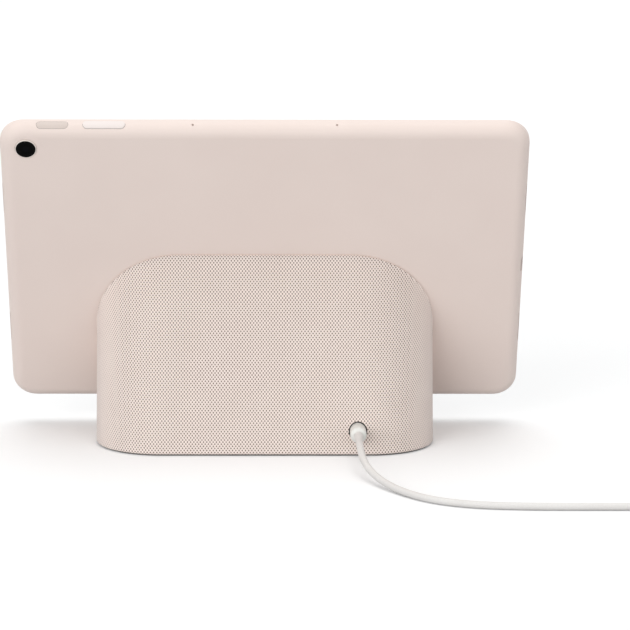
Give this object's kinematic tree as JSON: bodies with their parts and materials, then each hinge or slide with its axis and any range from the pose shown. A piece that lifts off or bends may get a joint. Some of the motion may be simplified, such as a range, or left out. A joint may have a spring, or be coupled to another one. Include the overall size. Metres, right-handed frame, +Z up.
{
  "type": "smart display",
  "caption": "Tablet-style smart display leaning on a fabric-covered wedge-shaped charging speaker dock, with a barrel-plug power lead and wall adapter.",
  "frame": {"origin": "centre of the dock's footprint, on the surface that it stands on", "axes": "+Z up, the display faces -Y, +X to the right of someone looking at the display"},
  "size_m": [0.379, 0.1923, 0.1667],
  "materials": {
    "knit_fabric": "fine knit mesh, warm pale rose",
    "grey_plastic": "moulded, matt",
    "pale_plastic": "moulded, fine matt",
    "dark_rubber": "matt",
    "zinc_steel": "zinc plated",
    "magnet_nickel": "nickel plated",
    "cone_paper": "matt",
    "black_plastic": "matt",
    "circuit_board": "solder mask",
    "contact_gold": "gold plated",
    "coated_aluminium": "soft matt ceramic coat, warm pale rose",
    "key_plastic": "satin",
    "volume_plastic": "satin",
    "cover_glass": "polished",
    "display_black": "display, switched off",
    "bezel_plastic": "moulded, matt",
    "bare_aluminium": "bare",
    "camera_trim": "fine blasted",
    "camera_glass": "polished black",
    "tinned_steel": "tin plated",
    "lead_plastic": "moulded, satin",
    "lead_rubber": "smooth jacket",
    "adapter_plastic": "moulded, satin"
  },
  "bodies": {
    "dock": {"dock_fabric": "knit_fabric", "dock_shell": "grey_plastic", "dock_front_plate": "pale_plastic", "base_plate": "grey_plastic", "rubber_foot": "dark_rubber", "ballast_weight": "zinc_steel", "base_screws": "zinc_steel", "dock_magnets": "magnet_nickel", "pogo_block": "pale_plastic", "speaker_gasket": "dark_rubber", "speaker_basket": "zinc_steel", "speaker_top_plate": "zinc_steel", "speaker_magnet": "magnet_nickel", "speaker_yoke": "zinc_steel", "speaker_surround": "dark_rubber", "speaker_enclosure": "black_plastic", "dock_board": "circuit_board", "dc_jack": "black_plastic", "dc_jack_pin": "contact_gold"},
    "tablet": {"battery_cell_left": "bare_aluminium", "battery_cell_right": "bare_aluminium", "bezel_frame": "bezel_plastic", "contact_carrier": "bezel_plastic", "contact_pads": "contact_gold", "display_glass": "cover_glass", "frame_screws": "zinc_steel", "front_camera": "black_plastic", "key_switches": "circuit_board", "lcd_panel": "display_black", "main_board": "circuit_board", "microphones": "tinned_steel", "mid_frame": "bare_aluminium", "port_board": "circuit_board", "rear_camera_lens": "camera_glass", "rear_camera_module": "black_plastic", "rear_camera_ring": "camera_trim", "shield_cans": "tinned_steel", "tablet_housing": "coated_aluminium", "tablet_magnets": "magnet_nickel", "tablet_speaker_1": "black_plastic", "tablet_speaker_2": "black_plastic", "tablet_speaker_3": "black_plastic", "tablet_speaker_4": "black_plastic", "usb_c_port": "tinned_steel"},
    "speaker_cone": {"speaker_cone": "cone_paper"},
    "power_button": {"power_button": "key_plastic"},
    "volume_rocker": {"volume_rocker": "volume_plastic"},
    "pogo_pin_1": {"pogo_pin_1": "contact_gold"},
    "pogo_pin_2": {"pogo_pin_2": "contact_gold"},
    "pogo_pin_3": {"pogo_pin_3": "contact_gold"},
    "pogo_pin_4": {"pogo_pin_4": "contact_gold"},
    "power_lead": {"dc_plug_barrel": "tinned_steel", "dc_plug": "lead_plastic", "plug_boot": "lead_rubber", "power_cord": "lead_rubber", "cord_coil": "lead_rubber", "cord_tail": "lead_rubber", "adapter_gland": "lead_rubber", "adapter_body": "adapter_plastic", "adapter_prongs": "tinned_steel"}
  },
  "joints": [
    {"name": "tablet_lift_off", "type": "slide", "parent": "dock", "child": "tablet", "axis": [0, -0.8886, 0.4587], "range_m": [0, 0.12]},
    {"name": "power_button_press", "type": "slide", "parent": "tablet", "child": "power_button", "axis": [0, -0.4587, -0.8886], "range_m": [0, 0.0003], "stiffness_N_per_m": 2000},
    {"name": "volume_rocker_tilt", "type": "hinge", "parent": "tablet", "child": "volume_rocker", "pos_m": [0.07805, 0.03463, 0.16403], "axis": [0, -0.8886, 0.4587], "range_deg": [-1.2, 1.2], "stiffness_Nm_per_rad": 0.3},
    {"name": "pogo_pin_1_press", "type": "slide", "parent": "dock", "child": "pogo_pin_1", "axis": [0, 0.8886, -0.4587], "range_m": [0, 0.0008], "stiffness_N_per_m": 700},
    {"name": "pogo_pin_2_press", "type": "slide", "parent": "dock", "child": "pogo_pin_2", "axis": [0, 0.8886, -0.4587], "range_m": [0, 0.0008], "stiffness_N_per_m": 700},
    {"name": "pogo_pin_3_press", "type": "slide", "parent": "dock", "child": "pogo_pin_3", "axis": [0, 0.8886, -0.4587], "range_m": [0, 0.0008], "stiffness_N_per_m": 700},
    {"name": "pogo_pin_4_press", "type": "slide", "parent": "dock", "child": "pogo_pin_4", "axis": [0, 0.8886, -0.4587], "range_m": [0, 0.0008], "stiffness_N_per_m": 700},
    {"name": "speaker_cone_travel", "type": "slide", "parent": "dock", "child": "speaker_cone", "axis": [0, 0.9481, 0.3178], "range_m": [-0.001, 0.001], "stiffness_N_per_m": 900},
    {"name": "dc_plug_pull", "type": "slide", "parent": "dock", "child": "power_lead", "axis": [0, 1, 0], "range_m": [0, 0.025]}
  ]
}
